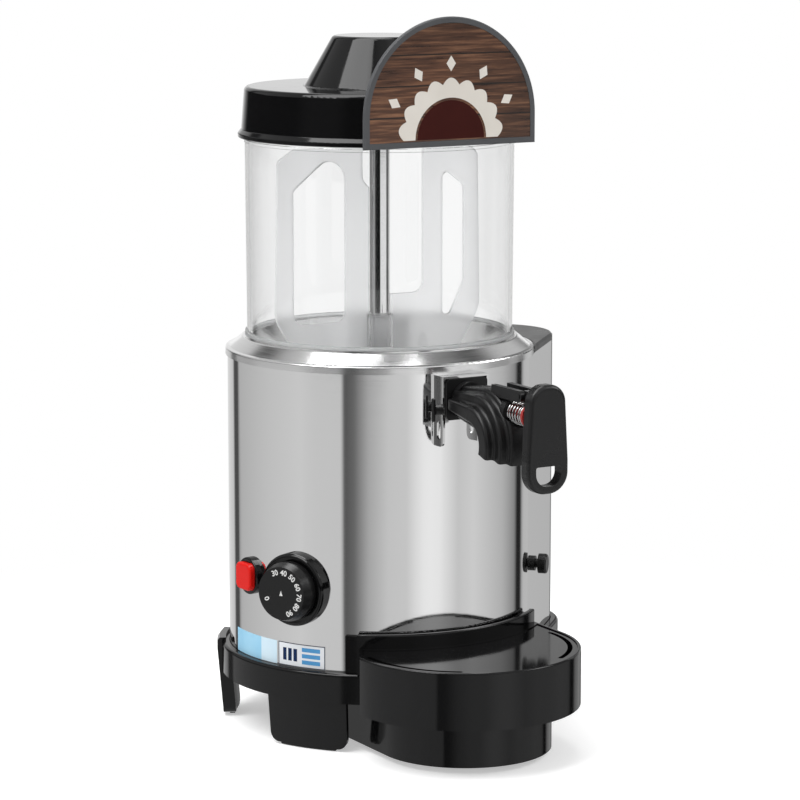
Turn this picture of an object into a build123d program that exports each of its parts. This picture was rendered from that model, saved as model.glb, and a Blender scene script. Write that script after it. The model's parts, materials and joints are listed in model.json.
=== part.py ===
from build123d import *
import os
from math import acos, atan2, cos, degrees, hypot, pi, radians, sin, sqrt

# Hot drinks dispenser of about five litres: a steel body on a black base, a clear tank with a
# stirrer, a black lid with an arched panel, a spring-closed tap and a drip tray.
# Millimetres. While it is built, the tank axis is the Z axis and the front is -Y; at the end it is
# moved so that its origin is in the middle of its footprint, on the table.
# Angles called phi are measured about the tank axis from the front towards +X.

# Heights, measured from the underside of the tray; the legs reach a little below it
legs_below = 3.5
pad_height = 1.5
base_bottom = 33.0
base_top = 55.0
shell_bottom = base_top - 4.0
tap_height = 254.0
deck_edge = tap_height + 23.0
shell_top = deck_edge - 5.5
deck_seat = deck_edge + 8.0
tank_bottom = deck_seat + 3.5
tank_top = tank_bottom + 152.5
lid_bottom = tank_top - 10.0
lid_top = lid_bottom + 37.0
hump_top = lid_top + 36.5

# Fits
running_gap = 0.05
slide_gap = 0.3
loose_gap = 0.5

# Body shell: a round drum with a smaller round bulge on its right, joined by tangent flats
shell_radius = 112.5
shell_wall = 1.0
bulge_x = shell_radius - 4.5
bulge_y = 16.0
bulge_radius = 0.4 * shell_radius
duct_cap_height = 5.0

# Base: a skirt round the foot of the shell, with four curved legs
base_lip = 6.0
base_wall = 3.0
base_ledge = 8.0
leg_places = ((-57.5, 32.0, 0.0), (57.5, 32.0, 0.0), (-123.0, 17.0, 3.5), (123.0, 17.0, 3.5))
leg_wall = 6.0
leg_taper = 5.0
leg_head = 2.0
leg_head_taper = 40.0
leg_corner = 7.0
upstand_wall = 2.0
upstand_top = base_top + 27.5
upstand_angle = 42.0
cover_thickness = 2.0
cover_inset = 3.5
cover_boss_radius = 3.5
cover_boss_circle = shell_radius - 5.0
cover_boss_places = (-20.0, -95.0, 165.0, 25.0)
vent_length = 60.0
vent_width = 5.0
vent_pitch = 16.0
screw_radius = 1.5
screw_head_radius = 3.0
screw_head_height = 1.6
screw_grip = 8.0

# Top deck, bowl and water bath
deck_radius = shell_radius + 1.5
deck_wall = 1.2
deck_skirt_wall = 2.6
deck_slope_radius = deck_radius - 12.5
tank_radius = deck_slope_radius - 3.7
bowl_rim_radius = tank_radius + 1.7
bowl_top_radius = tank_radius - 3.0
bowl_floor_radius = bowl_top_radius - 9.8
bowl_floor = tap_height - 11.5
bowl_corner = 8.0
bowl_wall = 1.0
bath_radius = shell_radius - 12.0
bath_floor = deck_seat - 79.0
bath_wall = 1.0
heater_circle = 62.0
heater_tube = 4.0
heater_height = bath_floor + 10.0
heater_tail_length = 24.0
heater_tail_spread = 16.0
heater_knuckle = 1.25

# Column, drive and stirrer
column_radius = 7.4
column_wall = 1.2
column_top = tank_top + 9.0
column_flange_radius = 16.0
column_flange_height = 2.0
shaft_radius = 4.0
bush_length = 12.0
motor_plate_radius = 46.0
motor_plate_thickness = 2.5
standoff_length = 12.0
standoff_radius = 4.0
standoff_circle = 40.0
gearbox_radius = 32.0
gearbox_height = 28.0
motor_radius = 27.0
motor_height = 52.0
shaft_grip = 14.0
drive_head_size = 10.0
drive_head_height = 7.0
sleeve_bore = column_radius + 0.35
sleeve_radius = sleeve_bore + 2.05
sleeve_bottom = bowl_floor + 13.5
sleeve_cap = 3.0
hub_top = deck_seat + 14.5
paddle_thickness = 3.0
paddle_top = lid_bottom - 7.0
paddle_shoulder = paddle_top - 8.0
paddle_reach = tank_radius - 13.8
paddle_knee = deck_seat + 15.0
paddle_toe = bowl_floor + 19.5
paddle_toe_reach = paddle_reach - 22.0
frame_bar = 12.0
frame_inner_bar = 29.0
frame_notch = 15.0
frame_notch_height = 24.0
arm_height = 16.0
frame_window_top = paddle_top - 10.0
frame_window_bottom = deck_seat + 11.0
blade_slot_end = paddle_reach - 12.0
blade_slot_start = blade_slot_end - 19.0
blade_inner_edge = blade_slot_start - 16.5
blade_slot_top = paddle_top - 18.0
blade_bridge_top = deck_seat + 29.0

# Tank and lid
tank_draft = 1.0
tank_wall = 3.0
tank_bead = 0.8
gasket_inner = bowl_top_radius - 0.6
flange_radius = tank_radius + 5.9
flange_height = 3.0
lid_side_radius = tank_radius + 3.4
lid_top_radius = tank_radius + 1.0
lid_wall = 2.3
lid_bore = tank_radius + tank_draft + slide_gap
lid_ledge = 2.6
hump_base_radius = 55.0
hump_top_radius = 34.0

# Arched panel on the front of the lid
panel_half_width = 70.0
panel_straight = 21.0
panel_back_plane = lid_side_radius - 1.2
panel_depth = 2.6
panel_border = 4.2
board_thickness = 1.6
panel_lug_width = 10.0
panel_lug_height = 14.0
panel_lug_spread = 34.0

# Controls on the shell
knob_phi = -61.8
knob_height = 113.4
knob_bezel_radius = 26.5
knob_bezel_depth = 7.0
knob_radius = 21.5
knob_depth = 12.5
knob_face_radius = 19.3
knob_groove = 1.5
knob_bush_radius = 6.0
knob_shaft_radius = 3.0
thermostat_radius = 16.0
thermostat_depth = 34.0
button_phi = -85.5
button_height = 116.2
button_size = 20.0
button_corner = 5.0
button_head = 4.3
button_proud = 8.2
button_neck_radius = 9.5
button_bezel_radius = 13.6
button_bezel_depth = 4.0
button_barrel_radius = 12.4
button_barrel_depth = 14.0
button_stem_radius = 4.0
switch_size = 24.0
switch_depth = 22.0
reset_along = 17.0
reset_height = 113.7
reset_head_radius = 7.4
reset_head_depth = 6.4
reset_stem_radius = 4.4
reset_collar_radius = 5.6
reset_collar_depth = 2.6
reset_gap = 2.6
limiter_radius = 12.0
limiter_depth = 24.0

# Tap: a fat elbow on the bowl's spigot, held by a steel bracket, with a spring-closed plunger
spigot_radius = 10.1
spigot_bore = spigot_radius - 1.2
spigot_start = bowl_floor_radius - 25.0
spigot_end = shell_radius + 11.5
neck_start = shell_radius + 1.1
neck_bore = spigot_radius + slide_gap
neck_radius = neck_bore + 2.2
neck_end = shell_radius + 14.5
neck_shrink = 0.72
elbow_start = shell_radius + 50.5
elbow_axis = tap_height - 24.5
elbow_turn = 108.0
elbow_inner = 8.5
elbow_steps = ((6.5, 15.5), (11.5, 23.0), (7.5, 16.5), (4.0, 9.5))
elbow_round = 2.2
spout_bore = 9.0
spout_bore_place = 23.0
seal_width = 3.0
seal_radius = neck_bore + 1.1
seat_thickness = 3.0
seat_bore = 6.5
plug_radius = spigot_bore - 0.7
plug_length = 6.0
plug_face = 1.5
rod_radius = 2.5
boss_radius = 10.3
boss_front = elbow_start + 28.0
spring_length = 19.0
spring_radius = 7.6
spring_wire = 1.3
spring_turns = 4
spring_lead = 4.4
collar_radius = spring_radius + 0.8
collar_thickness = 2.5
rod_tip = 3.5
pivot_y = boss_front + 16.0
pivot_height = tap_height + 13.5
ear_radius = 4.0
ear_gap = 8.6
ear_width = 4.0
ear_root = elbow_start + 9.0
pin_radius = 2.0
lever_back = boss_front + 34.0
lever_thickness = 9.0
lever_top = tap_height + 24.5
lever_bottom = tap_height - 51.0
lever_top_width = 27.0
lever_low_width = 33.0
lever_wide_height = lever_bottom + 23.0
lever_slot_width = 20.5
lever_slot_top = lever_bottom + 19.5
lever_slot_bottom = lever_bottom + 5.5
lever_edge = 3.2
bracket_half_width = 18.6
bracket_wall = 1.5
bracket_front = shell_radius + 11.5
bracket_top = tap_height + 16.5
bracket_bottom = tap_height - 34.0
bracket_slot_bottom = bracket_bottom + 5.0
bracket_slot_height = 13.0
bracket_slot_width = 5.0
side_pin_y = shell_radius + 5.5
side_pin_height = tap_height - 7.5
side_pin_radius = 3.0
side_pin_bar_height = 17.0
side_pin_bar_width = 3.0
side_pin_bar = 1.6
side_pin_reach = bracket_half_width + 3.8

# Drip tray and its grille
tray_centre = shell_radius + 10.0
tray_radius = 84.0
tray_step = 33.0
tray_rim = tray_step + 41.3
tray_floor_gap = 0.8
base_clear = shell_radius + base_lip + 1.5
tray_wall = 2.6
tray_ledge = 3.0
tray_foot_radius = 63.2
tray_foot_back = shell_radius - 52.5
tray_trim_half_width = 67.0
tray_trim_back = shell_radius - 24.5
tray_trim_run = 27.0
tray_trim_slope = 1.84
tray_side_back = shell_radius - 32.5
tray_wall_top = upstand_top + 2.0
tray_wall_thickness = 4.0
tray_wall_left = 37.5
tray_wall_right = 43.5
grille_thickness = 2.2
grille_drop = 0.8
grille_slot_radius = tray_radius - 8.0
grille_slot_width = 3.6
grille_slot_front = -57.0
grille_slot_rear = 3.0

TALL = (Align.CENTER, Align.CENTER, Align.MIN)
DEEP = 400.0
nodes = {}


def rod(radius, start, end):
    """Cylinder along z from start to end."""
    return Pos(0, 0, start) * Cylinder(radius, end - start, align=TALL)


def tube(radius, bore, start, end):
    """Hollow cylinder along z."""
    return rod(radius, start, end) - rod(bore, start - 1, end + 1)


def turned(points, rounds=None):
    """Solid turned about the tank axis from (radius, height) corners, each with its own rounding."""
    if rounds is None:
        line = Polyline(*points, close=True)
    else:
        line = FilletPolyline(*points, radius=rounds, close=True)
    return revolve(Plane.XZ * make_face(line), Axis.Z)


def outward(phi, radius, height):
    """Plane at a place on a circle about the tank axis: z points outwards and y points up."""
    a = radians(phi)
    return Plane((radius * sin(a), -radius * cos(a), height), (cos(a), sin(a), 0), (sin(a), -cos(a), 0))


def forward(height, x=0.0):
    """Plane through the tank axis at a height: its z axis points to the front and y points up."""
    return Plane((x, 0, height), (1, 0, 0), (0, -1, 0))


def bulge_normals():
    """Angles of the two flats that join the drum and the bulge."""
    reach = hypot(bulge_x, bulge_y)
    lean = acos((shell_radius - bulge_radius) / reach)
    middle = atan2(bulge_y, bulge_x)
    return middle - lean, middle + lean


def teardrop(grow):
    """Outline of the shell in plan, offset outwards by grow."""
    big = shell_radius + grow
    small = bulge_radius + grow
    first, second = [(cos(a), sin(a)) for a in bulge_normals()]
    corners = [
        (big * first[0], big * first[1]),
        (bulge_x + small * first[0], bulge_y + small * first[1]),
        (bulge_x + small * second[0], bulge_y + small * second[1]),
        (big * second[0], big * second[1]),
    ]
    return Circle(big) + Pos(bulge_x, bulge_y) * Circle(small) + make_face(Polyline(*corners, close=True))


def prism(face, bottom, top):
    """A plan outline stood up between two heights."""
    return extrude(Pos(0, 0, bottom) * face, amount=top - bottom)


def sector(phi, span, reach):
    """Wedge in plan, from the tank axis outwards."""
    ends = [radians(phi + side * span / 2) for side in (-1, 1)]
    far = [(reach * sin(a), -reach * cos(a)) for a in ends]
    return make_face(Polyline((0, 0), *far, close=True))


def reset_plane():
    """Plane on the front flat of the bulge where the reset button sits, z pointing outwards."""
    angle = bulge_normals()[0]
    n = (cos(angle), sin(angle))
    x = shell_radius * n[0] - reset_along * n[1]
    y = shell_radius * n[1] + reset_along * n[0]
    return Plane((x, y, reset_height), (-n[1], n[0], 0), (n[0], n[1], 0))


def base_frame():
    skirt = prism(teardrop(base_lip), base_bottom, base_top)
    skirt = fillet(skirt.edges().group_by(Axis.Z)[-1], base_wall * 0.8)
    skirt -= prism(teardrop(loose_gap), shell_bottom, base_top + 1)
    skirt -= prism(teardrop(-base_ledge), base_bottom - 1, base_top + 1)
    skirt -= prism(teardrop(base_lip - base_wall), base_bottom - 1, shell_bottom - base_wall)
    for phi, span, flare in leg_places:
        skirt += leg(phi, span, flare)
    dock = Circle(upstand_radius()) - Circle(shell_radius + loose_gap)
    skirt += prism(dock & sector(0, 2 * upstand_angle, DEEP), shell_bottom, upstand_top)
    for place in cover_boss_places:
        boss = rod(cover_boss_radius, base_bottom + cover_thickness + screw_head_height, shell_bottom)
        boss -= rod(screw_radius + running_gap, base_bottom, shell_bottom - base_wall)
        skirt += Pos(outward(place, cover_boss_circle, 0).origin) * boss
    return skirt


def upstand_radius():
    return shell_radius + loose_gap + upstand_wall


def leg(phi, span, flare):
    """Curved plate that carries on down from the skirt, leaning in towards its foot."""
    top = shell_bottom - base_wall
    foot_level = pad_height - legs_below
    drop = top - foot_level
    outer = extrude(Pos(0, 0, top) * teardrop(base_lip + flare), amount=-drop, taper=leg_taper)
    inner = extrude(Pos(0, 0, top) * teardrop(base_lip - leg_wall), amount=-drop, taper=leg_taper)
    plate = (outer - inner) & prism(sector(phi, span, DEEP), foot_level - 1, top)
    foot = plate.edges().filter_by(lambda e: e.center().Z < foot_level + 0.1)
    foot = foot.filter_by(GeomType.LINE).sort_by(SortBy.LENGTH)[:2]
    plate = fillet(foot, leg_corner)
    if flare:
        head = prism(teardrop(base_lip + flare), top, base_top)
        crown = Pos(0, 0, base_top) * teardrop(base_lip + flare)
        head += extrude(crown, amount=leg_head, taper=leg_head_taper)
        head -= prism(teardrop(base_lip - base_wall), top - 1, base_top + leg_head + 1)
        plate += head & prism(sector(phi, span, DEEP), top, base_top + leg_head)
    return plate


def foot_pads():
    """Rubber pads under the legs."""
    pads = []
    drop = shell_bottom - base_wall - pad_height + legs_below
    lean = drop * sin(radians(leg_taper)) / cos(radians(leg_taper))
    margin = 1.0
    for phi, span, flare in leg_places:
        strip = teardrop(base_lip - lean - margin) - teardrop(base_lip - leg_wall - lean + margin)
        narrow = span - 2 * (leg_corner + 2) * 180 / pi / shell_radius
        pads.append(prism(strip & sector(phi, narrow, DEEP), -legs_below, pad_height - legs_below))
    return pads


def bottom_cover():
    bottom = base_bottom + screw_head_height
    cover = prism(teardrop(-cover_inset), bottom, bottom + cover_thickness)
    for place in cover_boss_places:
        cover -= Pos(outward(place, cover_boss_circle, 0).origin) * rod(screw_radius + slide_gap, 0, DEEP)
    vent = SlotOverall(vent_length, vent_width)
    for row in range(-2, 3):
        cover -= Pos(0, row * vent_pitch, 0) * prism(vent, bottom - 1, bottom + cover_thickness + 1)
    return cover


def cover_screws():
    screws = []
    for place in cover_boss_places:
        screw = rod(screw_head_radius, base_bottom, base_bottom + screw_head_height)
        screw += rod(screw_radius, base_bottom, base_bottom + screw_grip)
        screws.append(Pos(outward(place, cover_boss_circle, 0).origin) * screw)
    return screws


def outer_shell():
    shell = prism(teardrop(0), shell_bottom, shell_top) - prism(teardrop(-shell_wall), 0, DEEP)
    shell -= forward(tap_height) * rod(spigot_radius + 1.5, 0, shell_radius + 5)
    shell -= outward(knob_phi, shell_radius, knob_height) * rod(knob_bush_radius + slide_gap, -10, 10)
    shell -= outward(button_phi, shell_radius, button_height) * rod(button_barrel_radius + slide_gap, -10, 10)
    shell -= reset_plane() * rod(reset_stem_radius + slide_gap, -10, 10)
    return shell


def side_duct_cap():
    """Plug over the top of the bulge, fitted round the deck's skirt."""
    outline = teardrop(0) - Circle(deck_radius + slide_gap)
    cap = prism(outline, shell_top, shell_top + duct_cap_height)
    return chamfer(cap.edges().group_by(Axis.Z)[-1], 1.5)


def top_deck():
    under = deck_seat - deck_wall
    skirt_inner = deck_radius - deck_skirt_wall
    corners = [
        (deck_radius, shell_top),
        (deck_radius, deck_edge),
        (deck_radius - 3.0, deck_edge + 0.6),
        (deck_slope_radius, deck_seat),
        (bowl_top_radius + slide_gap, deck_seat),
        (bowl_top_radius + slide_gap, under),
        (deck_slope_radius - 0.6, under),
        (skirt_inner - 1.2, deck_edge - deck_wall),
        (skirt_inner, deck_edge - deck_wall),
        (skirt_inner, shell_top),
    ]
    return turned(corners, [0, 1.2, 0, 2.0, 0, 0, 2.0, 0, 0, 0])


def bowl():
    """Deep-drawn steel bowl with a rim and the tap's spigot."""
    hole = column_radius + running_gap
    corner = bowl_corner + bowl_wall
    rim_top = deck_seat + bowl_wall
    outside = turned(
        [(hole, bowl_floor), (bowl_floor_radius, bowl_floor), (bowl_top_radius, deck_seat),
         (bowl_rim_radius, deck_seat), (bowl_rim_radius, rim_top), (hole, rim_top)],
        [0, corner, 0, 0, 0, 0],
    )
    inside = turned(
        [(hole - 1, bowl_floor + bowl_wall), (bowl_floor_radius - bowl_wall, bowl_floor + bowl_wall),
         (bowl_top_radius - bowl_wall, deck_seat), (bowl_top_radius - bowl_wall, rim_top + 1),
         (hole - 1, rim_top + 1)],
        [0, bowl_corner, 0, 0, 0],
    )
    spout = forward(tap_height) * rod(spigot_radius, spigot_start, spigot_end)
    passage = forward(tap_height) * rod(spigot_bore, spigot_start + 2, spigot_end + 1)
    return outside + spout - passage - inside


def bath_pan():
    top = deck_seat - deck_wall - 0.2
    pan = rod(bath_radius, bath_floor, top) - rod(bath_radius - bath_wall, bath_floor + bath_wall, top + 1)
    pan -= rod(column_radius + running_gap, 0, DEEP)
    pan -= forward(tap_height) * rod(spigot_radius + running_gap, bath_radius - 10, bath_radius + 10)
    for x in heater_tails():
        pan -= Pos(x, heater_circle, 0) * rod(heater_tube + running_gap, 0, heater_height)
    return pan


def heater_tails():
    return -heater_tail_spread / 2, heater_tail_spread / 2


def heater_ring():
    """Tubular heater: an open ring whose two ends turn down through the bath's floor."""
    spread = heater_tail_spread / 2
    radius = hypot(heater_circle, spread)
    half_gap = degrees(atan2(spread, heater_circle))
    section = Plane.XZ * Pos(radius, heater_height) * Circle(heater_tube)
    body = Rot(0, 0, 90 + half_gap) * revolve(section, Axis.Z, revolution_arc=360 - 2 * half_gap)
    for x in heater_tails():
        tail = rod(heater_tube, heater_height - heater_tail_length, heater_height)
        knuckle = Pos(0, 0, heater_height) * Sphere(heater_tube * heater_knuckle)
        body += Pos(x, heater_circle, 0) * (tail + knuckle)
    return body


def column():
    bore = column_radius - column_wall
    pillar = tube(column_radius, bore, bath_floor - column_flange_height, column_top)
    pillar += tube(column_flange_radius, bore, bath_floor - column_flange_height, bath_floor)
    return pillar


def column_bushes():
    outer = column_radius - column_wall
    bore = shaft_radius + running_gap
    low = bath_floor - column_flange_height
    return [tube(outer, bore, start, start + bush_length) for start in (low, column_top - bush_length)]


def motor_plate():
    """Plate under the bath, hung on standoffs, that carries the gear motor."""
    top = bath_floor - standoff_length
    plate = rod(motor_plate_radius, top - motor_plate_thickness, top) - rod(shaft_radius + 1, 0, DEEP)
    for place in (45, 135, 225, 315):
        spot = Pos(outward(place, standoff_circle, 0).origin)
        plate += spot * rod(standoff_radius, top, bath_floor)
    return plate


def gear_motor():
    top = bath_floor - standoff_length - motor_plate_thickness
    body = rod(gearbox_radius, top - gearbox_height, top)
    can = rod(motor_radius, top - gearbox_height - motor_height, top - gearbox_height)
    body += chamfer(can.edges().group_by(Axis.Z)[0], 4)
    return body - rod(shaft_radius + running_gap, top - shaft_grip, top + 1)


def drive_shaft():
    low = bath_floor - standoff_length - motor_plate_thickness - shaft_grip
    return rod(shaft_radius, low + slide_gap, column_top + slide_gap)


def drive_head():
    """Square key on top of the shaft that turns the stirrer."""
    low = column_top + slide_gap
    disc = rod(column_radius, low, low + 2)
    key = Pos(0, 0, low + 2) * Box(drive_head_size, drive_head_size, drive_head_height, align=TALL)
    return disc + chamfer(key.edges().group_by(Axis.Z)[-1], 0.8)


def stirrer():
    """Hubs over the column with an open frame on one side and a slotted blade on the other."""
    crown = column_top + slide_gap + 2
    top = crown + drive_head_height + sleeve_cap
    socket = drive_head_size + 2 * running_gap
    arm_bottom = paddle_top + 3
    hubs = rod(sleeve_radius, arm_bottom, top)
    hubs = fillet(hubs.edges().group_by(Axis.Z)[-1], 2.5)
    hubs -= rod(sleeve_bore, arm_bottom - 1, crown)
    hubs -= Pos(0, 0, crown) * Box(socket, socket, drive_head_height + running_gap, align=TALL)
    hubs += tube(sleeve_radius, sleeve_bore, sleeve_bottom, hub_top)
    inner = sleeve_radius - 0.8
    outline = [
        (inner, paddle_toe - 4), (paddle_toe_reach, paddle_toe), (paddle_reach + 2, paddle_knee),
        (paddle_reach, paddle_shoulder), (paddle_reach - 13, paddle_top), (inner, paddle_top),
    ]
    wing = FilletPolyline(*outline, radius=[0, 14, 24, 5, 5, 0], close=True)
    window = FilletPolyline(
        (frame_inner_bar, frame_window_bottom), (paddle_reach - frame_bar, frame_window_bottom),
        (paddle_reach - frame_bar, frame_window_top - 20), (frame_inner_bar + 18, frame_window_top),
        (frame_inner_bar, frame_window_top), radius=[8, 8, 5, 7, 14], close=True)
    notch = FilletPolyline(
        (inner - 1, paddle_top - frame_notch_height - 8), (frame_notch, paddle_top - frame_notch_height),
        (frame_notch, paddle_top + 1), (inner - 1, paddle_top + 1), radius=[0, 5, 0, 0], close=True)
    arm = Polyline(
        (inner, arm_bottom), (frame_notch, arm_bottom), (frame_notch, paddle_top - 4),
        (frame_inner_bar, paddle_top - 4), (frame_inner_bar, paddle_top + arm_height - 6),
        (frame_inner_bar - 6, paddle_top + arm_height), (inner, paddle_top + arm_height), close=True)
    slot = FilletPolyline(
        (blade_slot_start, frame_window_bottom), (blade_slot_start + 7, frame_window_bottom),
        (blade_slot_end, frame_window_bottom + 24), (blade_slot_end, blade_slot_top - 14),
        (blade_slot_start, blade_slot_top), radius=[3, 3, 12, 6, 4], close=True)
    gap = FilletPolyline(
        (inner, blade_bridge_top), (blade_inner_edge, blade_bridge_top),
        (blade_inner_edge, paddle_top + 9), (inner, paddle_top + 9), radius=[0, 8, 0, 0], close=True)
    frame = make_face(wing) - make_face(window) - make_face(notch) + make_face(arm)
    blade = make_face(wing) - make_face(slot) - make_face(gap)
    plates = extrude(Plane.XZ * mirror(frame, Plane.YZ), amount=paddle_thickness / 2, both=True)
    plates += extrude(Plane.XZ * blade, amount=paddle_thickness / 2, both=True)
    plates -= rod(inner, 0, DEEP)
    return hubs + plates


def tank():
    top_radius = tank_radius + tank_draft
    bead = lid_bottom - 2.5
    wall = turned([
        (tank_radius - tank_wall, tank_bottom), (tank_radius, tank_bottom),
        (top_radius, tank_top), (top_radius - tank_wall, tank_top)])
    ring = turned([
        (top_radius - 1.5, bead - 2), (top_radius + tank_bead - 0.4, bead - 1),
        (top_radius + tank_bead - 0.4, bead + 1), (top_radius - 1.5, bead + 2)])
    return wall + ring


def tank_gasket():
    low = deck_seat + bowl_wall
    return tube(tank_radius + 1.6, gasket_inner, low, tank_bottom)


def lid():
    """Turned lid with a raised hump, a flange over the tank's rim and a flat for the panel."""
    ledge = lid_bore - lid_ledge
    corners = [
        (0, hump_top), (hump_top_radius, hump_top), (hump_base_radius, lid_top),
        (lid_top_radius, lid_top), (lid_side_radius, lid_bottom + flange_height + 3),
        (flange_radius, lid_bottom + flange_height), (flange_radius, lid_bottom),
        (lid_bore, lid_bottom), (lid_bore, tank_top), (ledge, tank_top),
        (ledge - 0.4, lid_top - lid_wall), (hump_base_radius - lid_wall, lid_top - lid_wall),
        (hump_top_radius - lid_wall, hump_top - lid_wall), (0, hump_top - lid_wall),
    ]
    body = turned(corners, [0, 4, 2, 3.5, 1, 1, 0.8, 0, 0, 0, 2, 2, 3, 0])
    flat = Pos(0, -panel_back_plane, lid_bottom) * Box(
        2 * flange_radius, 40, DEEP, align=(Align.CENTER, Align.MAX, Align.CENTER))
    return body - flat


def arch(inset):
    """Outline of the panel in its own plane: straight sides under a half circle."""
    half = panel_half_width - inset
    spring_line = lid_bottom + panel_straight
    low = lid_bottom + inset
    sides = Polyline((-half, spring_line), (-half, low), (half, low), (half, spring_line))
    top = ThreePointArc((half, spring_line), (0, spring_line + half), (-half, spring_line))
    return make_face(sides + top)


def panel_frame():
    """Shallow arched tray that holds the board, with two lugs on the lid's side."""
    plane = Plane((0, -panel_back_plane, 0), (1, 0, 0), (0, -1, 0))
    frame = extrude(plane * arch(0), amount=panel_depth)
    frame = chamfer(frame.edges().group_by(Axis.Y)[0], 0.8)
    pocket = Plane((0, -panel_back_plane - panel_depth + board_thickness, 0), (1, 0, 0), (0, -1, 0))
    frame -= extrude(pocket * arch(panel_border), amount=panel_depth)
    lug = Box(panel_lug_width, 20, panel_lug_height, align=(Align.CENTER, Align.MIN, Align.MIN))
    for side in (-1, 1):
        frame += Pos(side * panel_lug_spread, -panel_back_plane, lid_bottom + 10) * lug
    clear = 0.15
    side_of_lid = turned([
        (0, lid_bottom), (lid_side_radius + clear, lid_bottom),
        (lid_side_radius + clear, lid_bottom + flange_height + 3),
        (lid_top_radius + clear, lid_top), (0, lid_top)])
    flat = Pos(0, -panel_back_plane + 0.001, lid_top) * Box(
        DEEP, 60, DEEP, align=(Align.CENTER, Align.MIN, Align.CENTER))
    return frame - (side_of_lid & flat)


def panel_board():
    front = panel_back_plane + panel_depth - 0.3
    plane = Plane((0, -front + board_thickness - 0.3, 0), (1, 0, 0), (0, -1, 0))
    return extrude(plane * arch(panel_border + 0.1), amount=board_thickness - 0.3)


def against_shell(shape, clear=0.02):
    """What is left of a piece outside the drum."""
    return shape - rod(shell_radius + clear, 0, DEEP)


def thermostat_body():
    plane = outward(knob_phi, shell_radius, knob_height)
    case = rod(thermostat_radius, -3.0 - thermostat_depth, -3.0)
    case = chamfer(case.edges().group_by(Axis.Z)[0], 2)
    case += rod(knob_bush_radius, -3.0, knob_bezel_depth - 1.5)
    return plane * (case - rod(knob_shaft_radius + running_gap, -16, knob_bezel_depth + 1))


def knob_bezel():
    plane = outward(knob_phi, shell_radius, knob_height)
    ring = rod(knob_bezel_radius, -8, knob_bezel_depth)
    ring = fillet(ring.edges().group_by(Axis.Z)[-1], 2.5)
    ring -= tube(knob_radius + 2, knob_radius - 1, knob_bezel_depth - knob_groove, knob_bezel_depth + 1)
    ring -= rod(knob_bush_radius + running_gap, -9, knob_bezel_depth - 1.5)
    ring -= rod(knob_shaft_radius + 1, -9, knob_bezel_depth + 1)
    return against_shell(plane * ring)


def thermostat_knob():
    """Dial with a bevelled edge and a shaft into the thermostat."""
    plane = outward(knob_phi, shell_radius, knob_height)
    low = knob_bezel_depth + slide_gap
    top = low + knob_depth
    dial = rod(knob_radius, low, top)
    dial = chamfer(dial.edges().group_by(Axis.Z)[-1], knob_depth * 0.55, knob_radius - knob_face_radius)
    dial += rod(knob_shaft_radius, -15, low)
    return plane * dial


def button_bezel():
    plane = outward(button_phi, shell_radius, button_height)
    collar = rod(button_bezel_radius, -3, button_bezel_depth)
    collar = fillet(collar.edges().group_by(Axis.Z)[-1], 1.2)
    collar = against_shell(plane * collar)
    collar += plane * rod(button_barrel_radius, -button_barrel_depth, 0.5)
    collar -= plane * rod(button_neck_radius + slide_gap, -button_barrel_depth - 1, button_bezel_depth + 1)
    return collar - plane * prism(button_outline(slide_gap), 0.2, button_bezel_depth + 1)


def button_outline(grow):
    """Square with rounded corners, offset outwards by grow."""
    side = button_size + 2 * grow
    return RectangleRounded(side, side, button_corner + grow)


def switch_body():
    plane = outward(button_phi, shell_radius, button_height)
    top = -button_barrel_depth
    case = Pos(0, 0, top) * Box(
        switch_size, switch_size, switch_depth, align=(Align.CENTER, Align.CENTER, Align.MAX))
    case = chamfer(case.edges().filter_by(Axis.Z), 2)
    case -= rod(button_stem_radius + running_gap, top - 8, top + 1)
    for side in (-1, 1):
        case += Pos(side * 6, 0, top - switch_depth - 8) * Box(0.8, 6, 8, align=TALL)
    return plane * case


def power_button():
    plane = outward(button_phi, shell_radius, button_height)
    cap = prism(button_outline(0), button_proud - button_head, button_proud)
    cap = fillet(cap.edges().group_by(Axis.Z)[-1], 1.8)
    cap += rod(button_neck_radius, -8, button_proud - button_head)
    cap += rod(button_stem_radius, -button_barrel_depth - 3, -8)
    return plane * cap


def reset_collar():
    """Bush in the shell's wall that guides the reset button's stem."""
    collar = tube(reset_collar_radius, reset_stem_radius - 1 + running_gap, 0.02, reset_collar_depth)
    guide = tube(reset_stem_radius, reset_stem_radius - 1 + running_gap, -limiter_depth / 4, 0.02)
    return reset_plane() * (collar + guide)


def limiter_body():
    """Safety cut-out behind the reset button."""
    top = -limiter_depth / 4
    case = rod(limiter_radius, top - limiter_depth, top)
    case = chamfer(case.edges().group_by(Axis.Z)[0], 2)
    return reset_plane() * (case - rod(reset_stem_radius - 1 + running_gap, top - 6, top + 1))


def reset_button():
    low = reset_collar_depth + reset_gap
    head = rod(reset_head_radius, low, low + reset_head_depth)
    head = fillet(head.edges().group_by(Axis.Z)[-1], 1.5)
    return reset_plane() * (head + rod(reset_stem_radius - 1, -limiter_depth / 4 - 3, low))


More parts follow.
